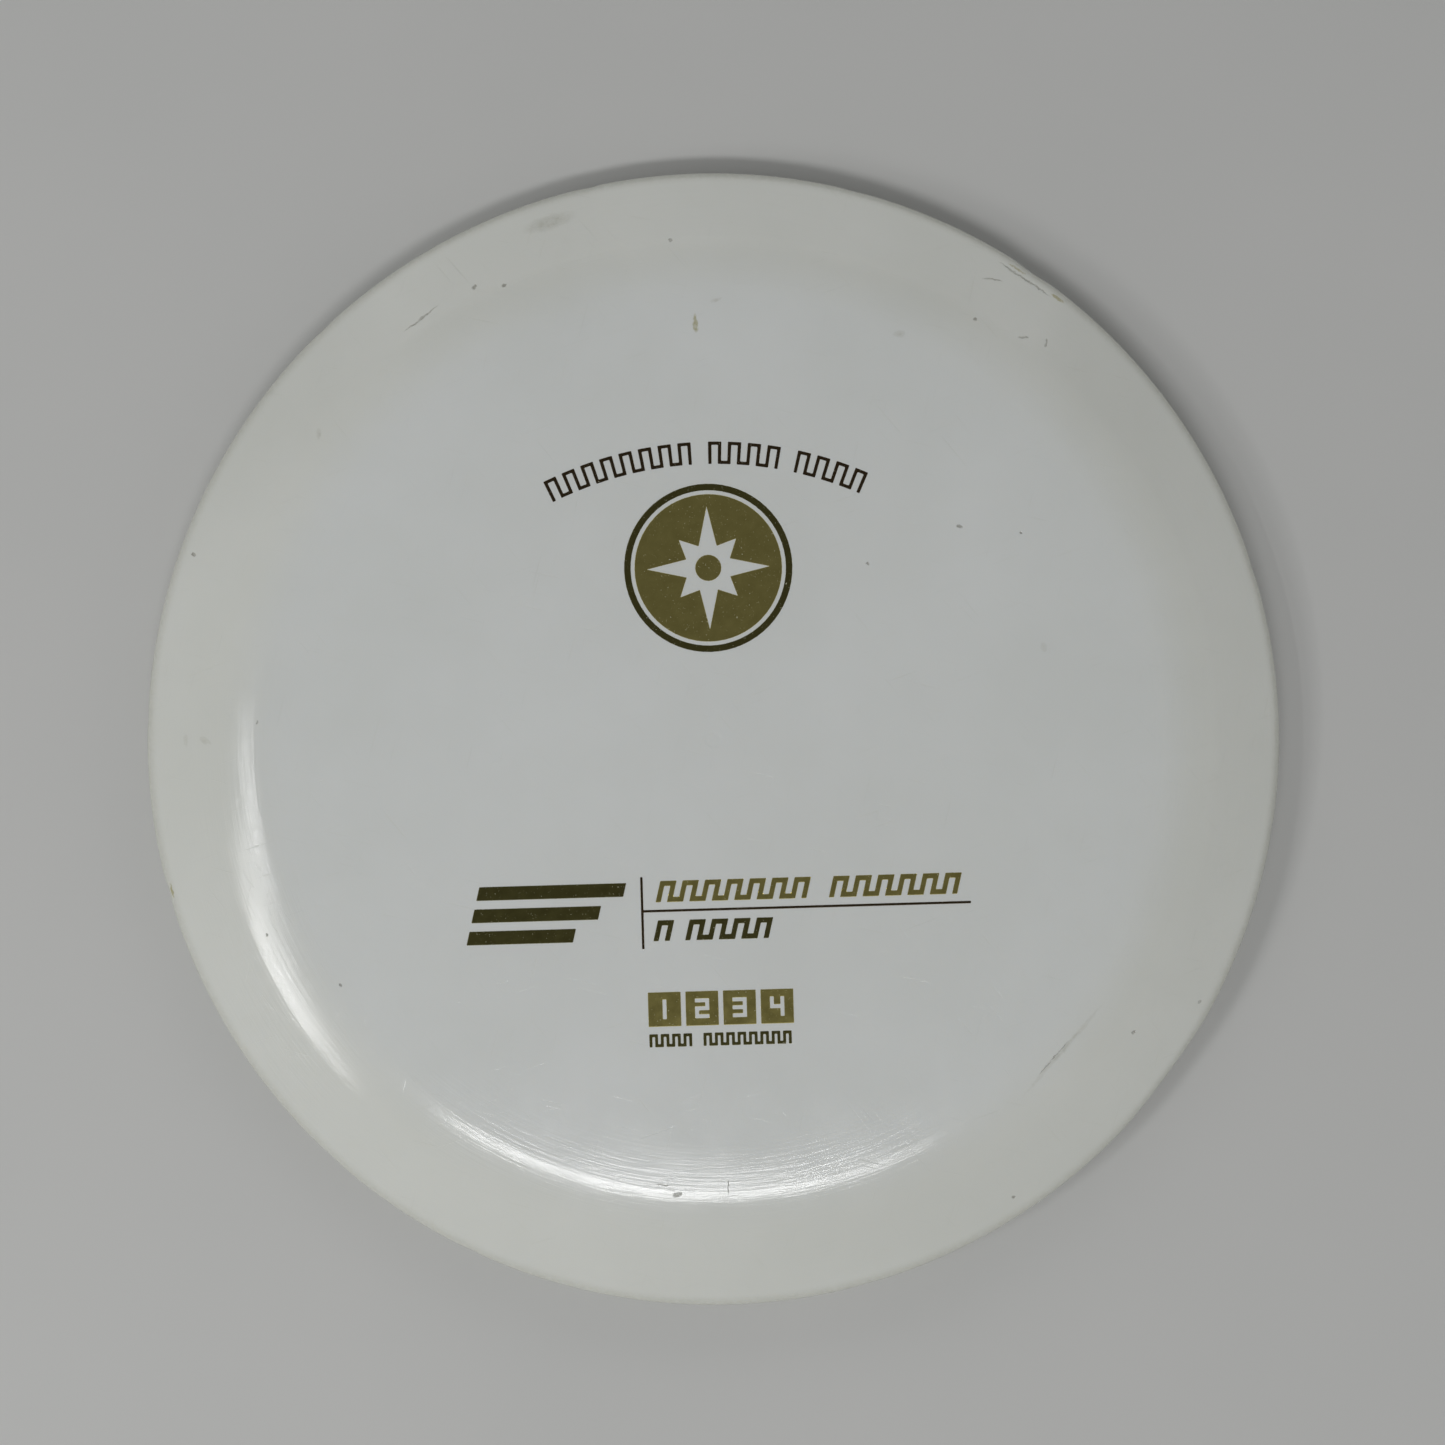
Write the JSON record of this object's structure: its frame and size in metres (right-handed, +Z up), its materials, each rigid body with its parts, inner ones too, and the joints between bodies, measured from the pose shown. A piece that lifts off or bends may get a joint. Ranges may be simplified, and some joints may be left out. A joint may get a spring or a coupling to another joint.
{
  "type": "flying disc",
  "caption": "Thin round throwing disc with a flat flight plate, a wide bevelled rim with a rounded nose, a hollow underside and a stamped foil pattern.",
  "frame": {"origin": "centre of the flat ring that the rim stands on, on the spin axis", "axes": "+Z up along the spin axis, out of the stamped face; +Y from the centre towards the stamp's round emblem; +X to the right as the stamp reads"},
  "size_m": [0.212, 0.212, 0.0171],
  "materials": {
    "moulded_polyurethane": "satin white, slightly see-through, scuffed along the rim",
    "gold_foil": "satin olive-gold hot-stamped foil",
    "dark_gold_foil": "satin dark olive-gold hot-stamped foil",
    "brown_foil": "satin brown-gold hot-stamped foil, thin strokes"
  },
  "bodies": {
    "root": {"caption_band_left": "dark_gold_foil", "caption_band_right": "dark_gold_foil", "disc_body": "moulded_polyurethane", "emblem_field": "gold_foil", "emblem_hub": "gold_foil", "emblem_ring": "dark_gold_foil", "rating_square_1": "gold_foil", "rating_square_2": "gold_foil", "rating_square_3": "gold_foil", "rating_square_4": "gold_foil", "stamp_arc_left": "brown_foil", "stamp_arc_middle": "brown_foil", "stamp_arc_right": "brown_foil", "title_band_lower_left": "dark_gold_foil", "title_band_lower_right": "dark_gold_foil", "title_band_upper_left": "gold_foil", "title_band_upper_right": "gold_foil", "title_bar_bottom": "dark_gold_foil", "title_bar_middle": "dark_gold_foil", "title_bar_top": "dark_gold_foil", "title_rules": "brown_foil"}
  },
  "joints": []
}
